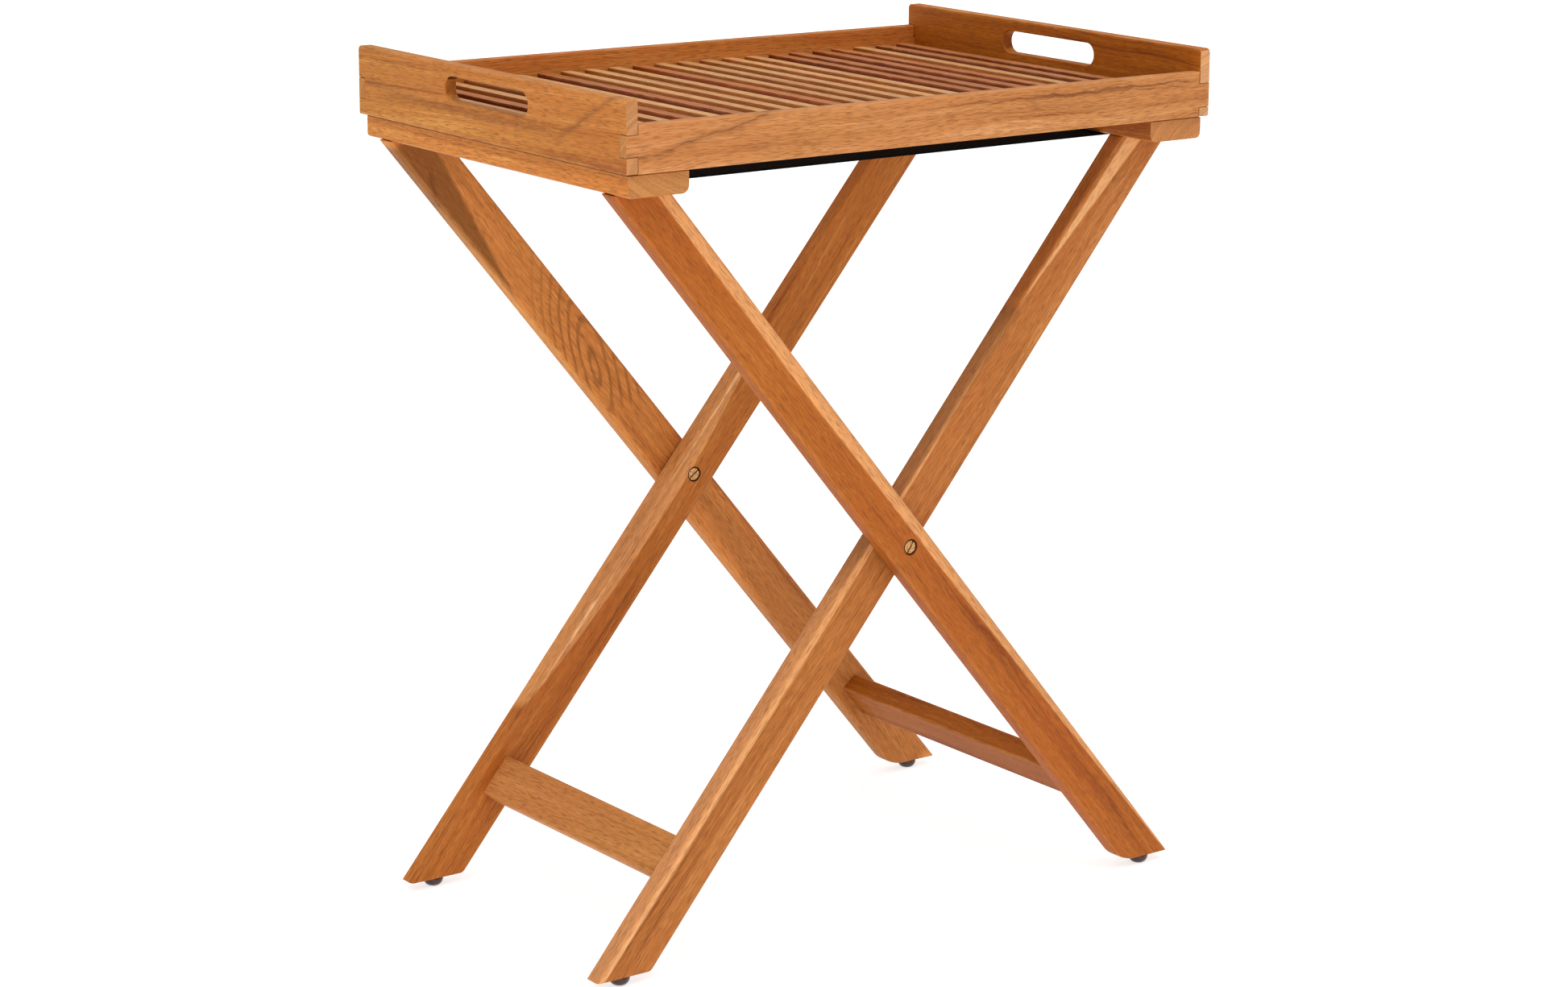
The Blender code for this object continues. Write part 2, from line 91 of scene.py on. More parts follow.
class Shader:
    """A material's node tree, written as calls that pass sockets and numbers alike."""

    def __init__(self, name, roughness, metallic=0.0, specular=0.5):
        self.material = bpy.data.materials.new(name)
        self.material.use_nodes = True
        self.tree = self.material.node_tree
        self.surface = self.tree.nodes["Principled BSDF"]
        self.surface.inputs["Roughness"].default_value = roughness
        self.surface.inputs["Metallic"].default_value = metallic
        self.surface.inputs["Specular IOR Level"].default_value = specular

    def put(self, socket, value):
        if isinstance(value, bpy.types.NodeSocket):
            self.tree.links.new(value, socket)
        elif isinstance(value, (tuple, list)) and len(value) == 3 and socket.type == "RGBA":
            socket.default_value = (*value, 1.0)
        else:
            socket.default_value = value

    def node(self, kind, inputs=(), **settings):
        node = self.tree.nodes.new(kind)
        for key, value in settings.items():
            setattr(node, key, value)
        for key, value in dict(inputs).items():
            self.put(node.inputs[key], value)
        return node

    def math(self, operation, a, b=0.0):
        return self.node("ShaderNodeMath", {0: a, 1: b}, operation=operation).outputs[0]

    def add(self, a, b):
        return self.math("ADD", a, b)

    def times(self, a, b):
        return self.math("MULTIPLY", a, b)

    def span(self, value, low, high, to_low=0.0, to_high=1.0, smooth=True):
        kind = "SMOOTHSTEP" if smooth else "LINEAR"
        return self.node("ShaderNodeMapRange", {0: value, 1: low, 2: high, 3: to_low, 4: to_high},
                         interpolation_type=kind).outputs[0]

    def vector(self, x, y, z):
        return self.node("ShaderNodeCombineXYZ", {0: x, 1: y, 2: z}).outputs[0]

    def split(self, vector):
        return self.node("ShaderNodeSeparateXYZ", {0: vector}).outputs

    def scale(self, vector, by):
        return self.node("ShaderNodeVectorMath", {0: vector, 1: by}, operation="MULTIPLY").outputs[0]

    def shift(self, vector, by):
        return self.node("ShaderNodeVectorMath", {0: vector, 1: by}, operation="ADD").outputs[0]

    def noise(self, vector, scale=1.0, detail=2.0):
        inputs = {"Vector": vector, "Scale": scale, "Detail": detail}
        return self.node("ShaderNodeTexNoise", inputs).outputs[0]

    def noise_along(self, w, detail=2.0):
        return self.node("ShaderNodeTexNoise", {"W": w, "Scale": 1.0, "Detail": detail},
                         noise_dimensions="1D").outputs[0]

    def mix(self, factor, a, b, blend="MIX"):
        node = self.node("ShaderNodeMix", data_type="RGBA", blend_type=blend)
        self.put(node.inputs[0], factor)
        self.put(node.inputs[6], a)
        self.put(node.inputs[7], b)
        return node.outputs[2]

    def bump(self, height, distance, strength=1.0):
        node = self.node("ShaderNodeBump", {"Height": height, "Distance": distance, "Strength": strength})
        self.put(self.surface.inputs["Normal"], node.outputs[0])

    def own_position(self):
        return self.node("ShaderNodeTexCoord").outputs["Object"]


Wood = namedtuple("Wood", "s x y broad fibre cloud sway wobble ripples")


def sap_band(wood, colour, tone, band):
    """colour, paler where the board still holds sapwood, with an edge that follows the fibre."""
    s = wood.s
    start, x0, bend, soft, reach, strength = band
    from_x0 = s.add(wood.x, -x0)
    curve = s.times(s.times(from_x0, from_x0), -bend)
    edge = s.add(s.add(wood.y, curve), s.times(s.add(wood.broad, -0.5), 0.003))
    edge = s.add(edge, s.times(s.add(wood.fibre, -0.5), 0.0010))
    mask = s.times(s.span(edge, start - soft, start + soft), strength)
    mask = s.times(mask, s.span(s.math("ABSOLUTE", from_x0), reach - 0.06, reach, 1.0, 0.0))
    return s.mix(mask, colour, s.mix(s.span(tone, 0.2, 0.8), tuple(c * 0.84 for c in SAPWOOD), SAPWOOD))


def growth_loops(wood, colour, facing_z, arch):
    """colour with long loops round a knot, closed towards -X and fading with distance from it."""
    s = wood.s
    x0, y0, tilt, narrow, spacing, reach, strength = arch
    off_x = s.add(wood.x, -x0)
    off_y = s.add(s.add(wood.y, s.times(s.add(wood.wobble, -0.5), 0.004)), -y0)
    along = s.add(s.times(off_x, math.cos(tilt)), s.times(off_y, math.sin(tilt)))
    aside = s.times(s.add(s.times(off_y, math.cos(tilt)), s.times(off_x, -math.sin(tilt))), 1 / narrow)
    out = s.math("SQRT", s.add(s.times(along, along), s.times(aside, aside)))
    uneven = s.add(s.times(s.add(wood.sway, -0.5), 0.10), s.times(s.add(wood.broad, -0.5), 0.012))
    out = s.add(out, uneven)
    line = s.span(s.math("SINE", s.times(out, math.tau / spacing)), 0.1, 1.0)
    line = s.times(line, s.span(wood.fibre, 0.25, 0.60, 0.6, 1.0))
    line = s.times(line, s.span(wood.cloud, 0.30, 0.60, 0.45, 1.0))
    near = s.times(s.span(out, reach * 0.35, reach, 1.0, 0.0), s.span(along, 0.040, 0.055, 1.0, 0.0))
    near = s.times(near, s.span(s.math("ABSOLUTE", facing_z), 0.6, 0.9))
    return s.mix(s.times(s.times(line, near), strength), colour, GROWTH_DARK)


def tapering_band(wood, colour, wedge):
    """colour with a band that is broad at from_x and thins to nothing at to_x."""
    s = wood.s
    from_x, to_x, y0, climb, wide, strength, shown = wedge
    share = s.span(wood.x, from_x, to_x, 0.0, 1.0, smooth=False)
    middle = s.add(s.add(wood.y, -y0), s.times(s.add(wood.x, -from_x), -climb))
    middle = s.add(middle, s.times(s.add(wood.fibre, -0.5), 0.0012))
    half = s.span(share, 0.0, 1.0, wide / 2, 0.0, smooth=False)
    edge = s.add(half, s.times(s.math("ABSOLUTE", middle), -1.0))
    before = from_x - math.copysign(0.012, to_x - from_x)
    kept = s.times(s.span(wood.x, before, from_x), s.span(share, 0.97, 1.0, 1.0, 0.0))
    edge = s.span(edge, -0.03 * wide - 0.0003, 0.07 * wide + 0.0006)
    return s.mix(s.times(s.times(edge, kept), strength), colour, shown)


def mineral_line(wood, colour, streak):
    """colour with a dark line y = height + climb x + bend x squared, uneven in width and strength."""
    s = wood.s
    height, climb, bend, from_x, to_x, strength, spread = streak
    path = s.add(s.add(wood.y, -height), s.times(wood.x, -climb))
    path = s.add(path, s.times(s.times(wood.x, wood.x), -bend))
    stray = s.add(s.times(s.add(wood.wobble, -0.5), 0.008), s.times(s.add(wood.ripples, -0.5), 0.0032))
    path = s.add(path, stray)
    core = s.span(s.math("ABSOLUTE", path), 0.0002, 0.0010, 1.0, 0.0)
    halo = s.span(s.math("ABSOLUTE", path), 0.0, 0.0070, spread, 0.0)
    part = s.times(s.span(wood.x, from_x - 0.01, from_x + 0.01),
                   s.span(wood.x, to_x - 0.01, to_x + 0.01, 1.0, 0.0))
    part = s.times(part, s.span(wood.fibre, 0.25, 0.60, 0.45, 1.0))
    return s.mix(s.times(s.math("MAXIMUM", core, halo), s.times(part, strength)), colour, MINERAL)


def teak(name, size, seed, tint=(1.0, 1.0, 1.0), figure=1.0, slope=0.0, turn=None, sap=None, streaks=(),
         pale=0.0, end=(0.95, 1.0, 1.1), low_side_shading=None, high_side_shading=None, wedges=(), arches=(), bore_shade=0.0):
    """Oiled teak for a board of size (length, width, thickness).

    tint multiplies the colour, figure sets how strong the growth figure is and slope lets the grain
    climb across the width. turn is the rotation from the grain frame to the object's own. sap =
    (start, x0, bend, softness, reach, strength) makes the wood pale above y = start + bend (x - x0)^2, as
    far as reach from x0. Each of streaks =
    (height, climb, bend, from_x, to_x, strength, halo) is a dark mineral line. pale mixes in a greyish
    pink, partly for dry wood that has lost its oil and partly as a painted sheen; end tints the cut ends.
    low_side_shading and high_side_shading = (tint at the start of X, tint at its end) for the faces
    towards -Y and +Y: painted light where the tint is above 1, painted shade where it is below. Each of
    wedges = (from_x, to_x, y, climb, wide, strength, colour) is a band that thins to a point. Each of
    arches = (x0, y0, tilt, narrow, spacing, reach, strength) is a nest of dark growth loops. bore_shade is
    the radius of the painted shade that darkens the counterbore and its rim round the pivot's bore.
    """
    dice = random.Random(seed)
    s = Shader("teak_" + name, 0.5, specular=0.12)
    place = s.node("ShaderNodeTexCoord").outputs["Object"]
    normal = s.node("ShaderNodeTexCoord").outputs["Normal"]
    if turn:
        back = turn.transposed().to_euler("XYZ")
        place, normal = (s.node("ShaderNodeVectorRotate", {"Vector": v, "Rotation": tuple(back)},
                                rotation_type="EULER_XYZ").outputs[0] for v in (place, normal))
    raw_x, raw_y, raw_z = s.split(place)
    moved = s.shift(place, (dice.uniform(-9, 9), dice.uniform(-9, 9), dice.uniform(-9, 9)))
    sway = s.noise(s.scale(moved, (5.0, 9.0, 9.0)), detail=1.0)
    wobble = s.noise(s.scale(moved, (34.0, 40.0, 40.0)), detail=2.0)
    ripples = s.noise(s.scale(moved, (120.0, 90.0, 90.0)), detail=1.0)
    drift = s.add(s.times(s.add(sway, -0.5), 0.026 * figure), s.times(s.add(wobble, -0.5), 0.0012))
    across = s.add(s.add(raw_y, drift), s.times(raw_x, slope))
    through = s.add(raw_z, s.times(drift, 0.6))

    # growth rings: distance from a pith line outside the board
    lean = dice.uniform(0.35, 1.2) * dice.choice((-1, 1))
    far = dice.uniform(0.05, 0.14)
    ring = s.node("ShaderNodeVectorMath", {0: s.vector(0.0, s.add(across, far * math.cos(lean)),
                                                       s.add(through, far * math.sin(lean)))},
                  operation="LENGTH").outputs["Value"]
    offset = dice.uniform(0, 50)
    bands = s.noise_along(s.add(s.times(ring, 150.0), offset), 2.0)
    lines = s.noise_along(s.add(s.times(ring, 620.0), offset), 1.0)

    # fibre at three sizes, the dark open pores and pale flecks
    grain = s.vector(raw_x, across, through)
    broad = s.noise(s.shift(s.scale(grain, (3.0, 45.0, 45.0)), (offset, 0, 0)), detail=2.0)
    fibre = s.noise(s.shift(s.scale(grain, (10.0, 380.0, 380.0)), (offset, 3, 0)), detail=2.0)
    fine = s.noise(s.shift(s.scale(grain, (60.0, 1300.0, 1300.0)), (offset, 0, 5)), detail=1.0)
    pores = s.span(s.noise(s.shift(s.scale(grain, (90.0, 1700.0, 1700.0)), (0, offset, 0)), detail=0.0),
                   0.54, 0.68)
    fleck = s.span(s.noise(s.shift(s.scale(grain, (140.0, 900.0, 900.0)), (7, offset, 0)), detail=0.0),
                   0.68, 0.80)
    cloud = s.noise(s.scale(moved, (4.0, 14.0, 14.0)), detail=2.0)

    wood = Wood(s, raw_x, raw_y, broad, fibre, cloud, sway, wobble, ripples)
    tone = s.add(s.times(s.add(bands, -0.5), 1.00 * figure), s.times(s.add(lines, -0.5), 0.42 * figure))
    tone = s.add(tone, s.times(s.add(broad, -0.5), 0.90))
    tone = s.add(tone, s.times(s.add(fibre, -0.5), 0.62))
    tone = s.add(tone, s.times(s.add(fine, -0.5), 0.50))
    tone = s.add(tone, 0.5)
    colour = s.mix(s.span(tone, 0.0, 0.50), TEAK_DARK, TEAK_MID)
    colour = s.mix(s.span(tone, 0.50, 1.0), colour, TEAK_LIGHT)
    colour = s.mix(s.span(cloud, 0.35, 0.70, 0.0, 0.35), colour, (0.56, 0.165, 0.034))
    colour = s.mix(1.0, colour, tint, "MULTIPLY")
    if sap:
        colour = sap_band(wood, colour, tone, sap)
    for arch in arches:
        colour = growth_loops(wood, colour, s.split(normal)[2], arch)
    for wedge in wedges:
        colour = tapering_band(wood, colour, wedge)
    for streak in streaks:
        colour = mineral_line(wood, colour, streak)
    colour = s.mix(s.times(pores, 0.46), colour, MINERAL)
    colour = s.mix(s.times(fleck, 0.12), colour, SAPWOOD)
    # greyish pink mixed in: partly dry wood that has lost its oil, partly a painted sheen
    if pale:
        colour = s.mix(pale, colour, DRY_WOOD_AND_SHEEN)

    # cut ends, with the pores end on
    facing = s.math("ABSOLUTE", s.split(normal)[0])
    cut = s.span(facing, 0.72, 0.92)
    dots = s.noise(s.scale(place, (900.0, 900.0, 900.0)), detail=1.0)
    rows = s.add(s.times(s.add(bands, s.times(lines, 0.5)), 0.6), s.times(dots, 0.5))
    end_colour = tuple(a * b for a, b in zip(TEAK_LIGHT, end))
    ends = s.mix(s.span(rows, 0.45, 0.95), end_colour, tuple(c * 0.62 for c in end_colour))
    outer = s.span(s.math("ABSOLUTE", raw_x), size[0] / 2 - 0.014, size[0] / 2 - 0.013)
    inside = s.mix(1.0, colour, (0.72, 0.62, 0.50), "MULTIPLY")
    colour = s.mix(s.times(cut, 0.90), colour, s.mix(outer, inside, ends))
    # painted light (tint above 1) and painted shade (tint below 1) on the faces towards -Y and +Y
    for edge, sign in ((low_side_shading, -1.0), (high_side_shading, 1.0)):
        if edge:
            side = s.span(s.times(s.split(normal)[1], sign), 0.55, 0.80)
            share = s.span(raw_x, -size[0] / 2, size[0] / 2, smooth=False)
            colour = s.mix(side, colour, s.mix(1.0, colour, s.mix(share, *edge), "MULTIPLY"))

    # painted shade: the counterbore and its rim round the pivot's bore darkened as a dark ring
    if bore_shade:
        radius = s.math("SQRT", s.add(s.times(raw_x, raw_x), s.times(raw_y, raw_y)))
        radius = s.add(radius, s.times(s.add(fibre, -0.5), 0.0006))
        ring = s.span(radius, bore_shade - 0.0006, bore_shade + 0.0004, 0.85, 0.0)
        colour = s.mix(ring, colour, BORE_SHADE)

    # edges painted paler where two faces meet: partly rubbed wear, partly a painted highlight on the
    # rounding; the wear also makes them smoother
    near_y = s.span(s.math("ABSOLUTE", raw_y), size[1] / 2 - 0.0035, size[1] / 2)
    near_z = s.span(s.math("ABSOLUTE", raw_z), size[2] / 2 - 0.0030, size[2] / 2)
    wear_and_highlight = s.times(s.times(near_y, near_z), s.span(s.noise(moved, 45.0, 2.0), 0.35, 0.65, 0.25, 1.0))
    colour = s.mix(s.times(wear_and_highlight, 0.28), colour, SAPWOOD)

    s.put(s.surface.inputs["Base Color"], colour)
    rough = s.add(s.span(fine, 0.2, 0.8, 0.60, 0.46, smooth=False), s.times(cut, 0.12))
    s.put(s.surface.inputs["Roughness"], s.add(s.times(wear_and_highlight, -0.10), rough))
    relief = s.add(s.times(pores, -0.55), s.add(s.times(fine, 0.35), s.times(fibre, 0.45)))
    s.bump(relief, 0.00022, 0.55)
    return s.material


def brass(name, seed):
    """Dull lacquered brass, browned in patches, with fine turning marks and rubbed spots."""
    dice = random.Random(seed)
    s = Shader("brass_" + name, 0.35, metallic=1.0)
    place = s.own_position()
    moved = s.shift(place, (dice.uniform(-5, 5), dice.uniform(-5, 5), 0.0))
    patch = s.noise(moved, 520.0, 3.0)
    speck = s.noise(moved, 2600.0, 2.0)
    x, y, _ = s.split(place)
    radius = s.math("SQRT", s.add(s.times(x, x), s.times(y, y)))
    turning = s.noise_along(s.times(radius, 9000.0), 1.0)
    colour = s.mix(s.span(patch, 0.35, 0.65), (0.360, 0.180, 0.066), (0.700, 0.400, 0.170))
    colour = s.mix(s.span(speck, 0.60, 0.78), colour, (0.16, 0.070, 0.028))
    s.put(s.surface.inputs["Base Color"], colour)
    s.put(s.surface.inputs["Roughness"], s.span(patch, 0.3, 0.7, 0.48, 0.27))
    s.bump(s.add(s.times(turning, 0.6), s.times(speck, 0.4)), 0.00008, 0.6)
    return s.material


def moulded_plastic(name):
    """Very dark brown moulded nylon, slightly glossy, scuffed round the part that touches the floor."""
    s = Shader("nylon_" + name, 0.3, specular=0.5)
    place = s.own_position()
    z = s.split(place)[2]
    cloud = s.noise(place, 260.0, 3.0)
    grit = s.noise(place, 2200.0, 2.0)
    low = s.times(s.span(z, -0.0088, -0.0058, 1.0, 0.0), s.span(grit, 0.42, 0.62))
    colour = s.mix(s.span(cloud, 0.3, 0.7), (0.026, 0.0080, 0.0052), (0.052, 0.0165, 0.0105))
    colour = s.mix(s.times(low, 0.5), colour, (0.12, 0.085, 0.07))
    s.put(s.surface.inputs["Base Color"], colour)
    s.put(s.surface.inputs["Roughness"], s.add(s.span(cloud, 0.3, 0.7, 0.24, 0.36), s.times(low, 0.35)))
    s.bump(s.add(s.times(cloud, 0.4), s.times(grit, 0.6)), 0.00006, 0.5)
    return s.material


def webbing(name):
    """Black polypropylene webbing: a flat weave of fine ribs, in UV metres along and across."""
    s = Shader("webbing_" + name, 0.85, specular=0.04)
    u, v, _ = s.split(s.node("ShaderNodeTexCoord").outputs["UV"])
    rib = math.tau / 0.0016
    yarn = math.tau / 0.0021
    wave_u = s.math("SINE", s.times(u, rib))
    wave_v = s.math("SINE", s.times(v, yarn))
    half_u = s.math("SINE", s.times(u, rib / 2))
    cross = s.times(half_u, wave_v)
    weave = s.add(s.times(s.math("ABSOLUTE", wave_u), 0.45), s.times(cross, 0.55))
    fuzz = s.noise(s.vector(u, v, 0.0), 4200.0, 2.0)
    fade = s.noise(s.vector(u, s.times(v, 3.0), 1.0), 28.0, 2.0)
    selvedge = s.span(s.math("ABSOLUTE", v), 0.0165, 0.0175)
    colour = s.mix(s.span(weave, -0.5, 0.9), (0.0008, 0.0008, 0.0009), (0.0030, 0.0030, 0.0032))
    colour = s.mix(s.times(s.span(fade, 0.45, 0.75), 0.35), colour, (0.0050, 0.0048, 0.0048))
    colour = s.mix(s.times(selvedge, 0.4), colour, (0.0025, 0.0025, 0.0028))
    s.put(s.surface.inputs["Base Color"], colour)
    s.put(s.surface.inputs["Roughness"], s.span(fuzz, 0.2, 0.8, 0.78, 0.95))
    s.bump(s.add(weave, s.times(fuzz, 0.35)), 0.00035, 0.8)
    return s.material


# ---- mesh building -----------------------------------------------------------------------------

def loft(rings):
    """Skin over rings of points that all have the same count, closed with a face at each end."""
    bm = bmesh.new()
    made = [[bm.verts.new(p) for p in ring] for ring in rings]
    for a, b in zip(made, made[1:]):
        for i in range(len(a)):
            j = (i + 1) % len(a)
            bm.faces.new((a[i], a[j], b[j], b[i]))
    bm.faces.new(made[0])
    bm.faces.new(made[-1])
    bmesh.ops.recalc_face_normals(bm, faces=bm.faces)
    return bm


def rounded_outline(corners, radii, inset=0.0, steps=6):
    """Counter-clockwise polygon moved inwards by inset, each corner an arc (one point if radius 0).

    inset is one number or one for each side, starting with the side after the first corner."""
    count = len(corners)
    insets = inset if isinstance(inset, tuple) else (inset,) * count
    lines = []
    for i in range(count):
        a, b = Vector(corners[i]), Vector(corners[(i + 1) % count])
        along = (b - a).normalized()
        lines.append((a + Vector((-along.y, along.x)) * insets[i], along))
    out = []
    for i in range(count):
        (p, u), (q, v) = lines[i - 1], lines[i]
        turn = u.x * v.y - u.y * v.x
        t = ((q - p).x * v.y - (q - p).y * v.x) / turn
        corner = p + u * t
        radius = radii[i]
        if not radius:
            out.append((corner.x, corner.y))
            continue
        inward = max(insets[i - 1], insets[i])
        radius = max(1e-4, radius - inward if turn > 0 else radius + inward)
        angle = math.acos(max(-1.0, min(1.0, u.dot(v))))
        side = 1.0 if turn > 0 else -1.0
        start = corner - u * radius * math.tan(angle / 2)
        centre = start + Vector((-u.y, u.x)) * radius * side
        arm = start - centre
        for k in range(steps + 1):
            c, s = math.cos(side * angle * k / steps), math.sin(side * angle * k / steps)
            out.append((centre.x + arm.x * c - arm.y * s, centre.y + arm.x * s + arm.y * c))
    return out


def easing(ease, steps=4):
    """(inset, depth) pairs that round an edge over, from the face's own outline to the full one."""
    return [(ease * (1 - math.sin(math.pi / 2 * k / steps)), ease * (1 - math.cos(math.pi / 2 * k / steps)))
            for k in range(steps + 1)]


def bar(length, width, thick, radii, ease, steps=6):
    """A bar along local X with corner radii (y-z-, y+z-, y+z+, y-z+) and eased ends."""
    w, t = width / 2, thick / 2
    corners = [(-w, -t), (w, -t), (w, t), (-w, t)]
    places = [(-length / 2 + depth, inset) for inset, depth in easing(ease, 3)]
    places += [(length / 2 - depth, inset) for inset, depth in reversed(easing(ease, 3))]
    return loft([[(x, y, z) for y, z in rounded_outline(corners, radii, inset, steps)]
                 for x, inset in places])


def plate(corners, radii, thick, ease, hole=None, hole_ease=0.0):
    """A flat board in local XY, its edges eased on both faces, with an optional slot through it."""
    bm = bmesh.new()

    def wall(ring_at, amount):
        levels = [(-thick / 2 + depth, inset) for inset, depth in easing(amount)]
        levels += [(thick / 2 - depth, inset) for inset, depth in reversed(easing(amount))]
        rings = [[bm.verts.new((x, y, z)) for x, y in ring_at(inset)] for z, inset in levels]
        for a, b in zip(rings, rings[1:]):
            for i in range(len(a)):
                j = (i + 1) % len(a)
                bm.faces.new((a[i], a[j], b[j], b[i]))
        return rings[0], rings[-1]

    faces = [wall(lambda inset: rounded_outline(corners, radii, inset, 5), ease)]
    if hole:
        length, height, x0, y0 = hole

        def stadium(grow):
            r, half = height / 2 + grow, length / 2 - height / 2
            right = [(half + r * math.sin(math.pi * k / 16), -r * math.cos(math.pi * k / 16))
                     for k in range(17)]
            return [(x0 + x, y0 + y) for x, y in right + [(-x, -y) for x, y in right]]

        faces.append(wall(stadium, hole_ease))
    for end in (0, 1):
        edges = []
        for pair in faces:
            ring = pair[end]
            edges += [bm.edges.get((ring[i], ring[(i + 1) % len(ring)])) for i in range(len(ring))]
        bmesh.ops.triangle_fill(bm, use_beauty=True, use_dissolve=True, edges=edges)
    bmesh.ops.recalc_face_normals(bm, faces=bm.faces)
    return bm


def turned(profile, count=48):
    """A solid of revolution about local Z from (radius, height) points that start and end on the axis."""
    bm = bmesh.new()
    rings = []
    for r, z in profile:
        if r < 1e-9:
            rings.append([bm.verts.new((0, 0, z))] * count)
        else:
            turns = [math.tau * k / count for k in range(count)]
            rings.append([bm.verts.new((r * math.cos(a), r * math.sin(a), z)) for a in turns])
    for low, high in zip(rings, rings[1:]):
        for k in range(count):
            ring = [low[k], low[(k + 1) % count], high[(k + 1) % count], high[k]]
            bm.faces.new(list(dict.fromkeys(ring)))
    bmesh.ops.recalc_face_normals(bm, faces=bm.faces)
    return bm


def cut(base, *tools):
    """base less each of the tools, as a new bmesh."""
    def to_object(bm):
        mesh = bpy.data.meshes.new("shape")
        bm.to_mesh(mesh)
        bm.free()
        item = bpy.data.objects.new("shape", mesh)
        bpy.context.collection.objects.link(item)
        return item

    target = to_object(base)
    others = [to_object(tool) for tool in tools]
    for other in others:
        step = target.modifiers.new("cut", "BOOLEAN")
        step.operation, step.solver, step.object = "DIFFERENCE", "EXACT", other
    result = bmesh.new()
    result.from_object(target, bpy.context.evaluated_depsgraph_get())
    for item in [target, *others]:
        bpy.data.objects.remove(item)
    return result


def moved(bm, matrix):
    bmesh.ops.transform(bm, matrix=matrix, verts=bm.verts)
    return bm


def piece(name, bm, matrix, material, body, slot, *nodes, sharp=40):
    """Makes the mesh an object in place, riding on its body and standing for those CAD nodes."""
    mesh = bpy.data.meshes.new(name)
    bm.to_mesh(mesh)
    bm.free()
    obj = bpy.data.objects.new(name, mesh)
    bpy.context.collection.objects.link(obj)
    obj.matrix_world = matrix
    mesh.materials.append(material)
    mesh.shade_smooth()
    mesh.set_sharp_from_angle(angle=math.radians(sharp))
    step = obj.modifiers.new("flat_faces", "WEIGHTED_NORMAL")
    step.keep_sharp, step.weight = True, 80
    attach(obj, body)
    if nodes:
        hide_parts(*nodes)
    return obj


def axes(x, y, origin):
    """A matrix with those local X and Y directions and that origin."""
    x, y = Vector(x), Vector(y)
    z = x.cross(y)
    return Matrix(((x.x, y.x, z.x, origin[0]), (x.y, y.y, z.y, origin[1]), (x.z, y.z, z.z, origin[2]),
                   (0, 0, 0, 1)))


def middle_and_size(node):
    low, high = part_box(node)
    return (low + high) / 2, high - low


# ---- tray --------------------------------------------------------------------------------------

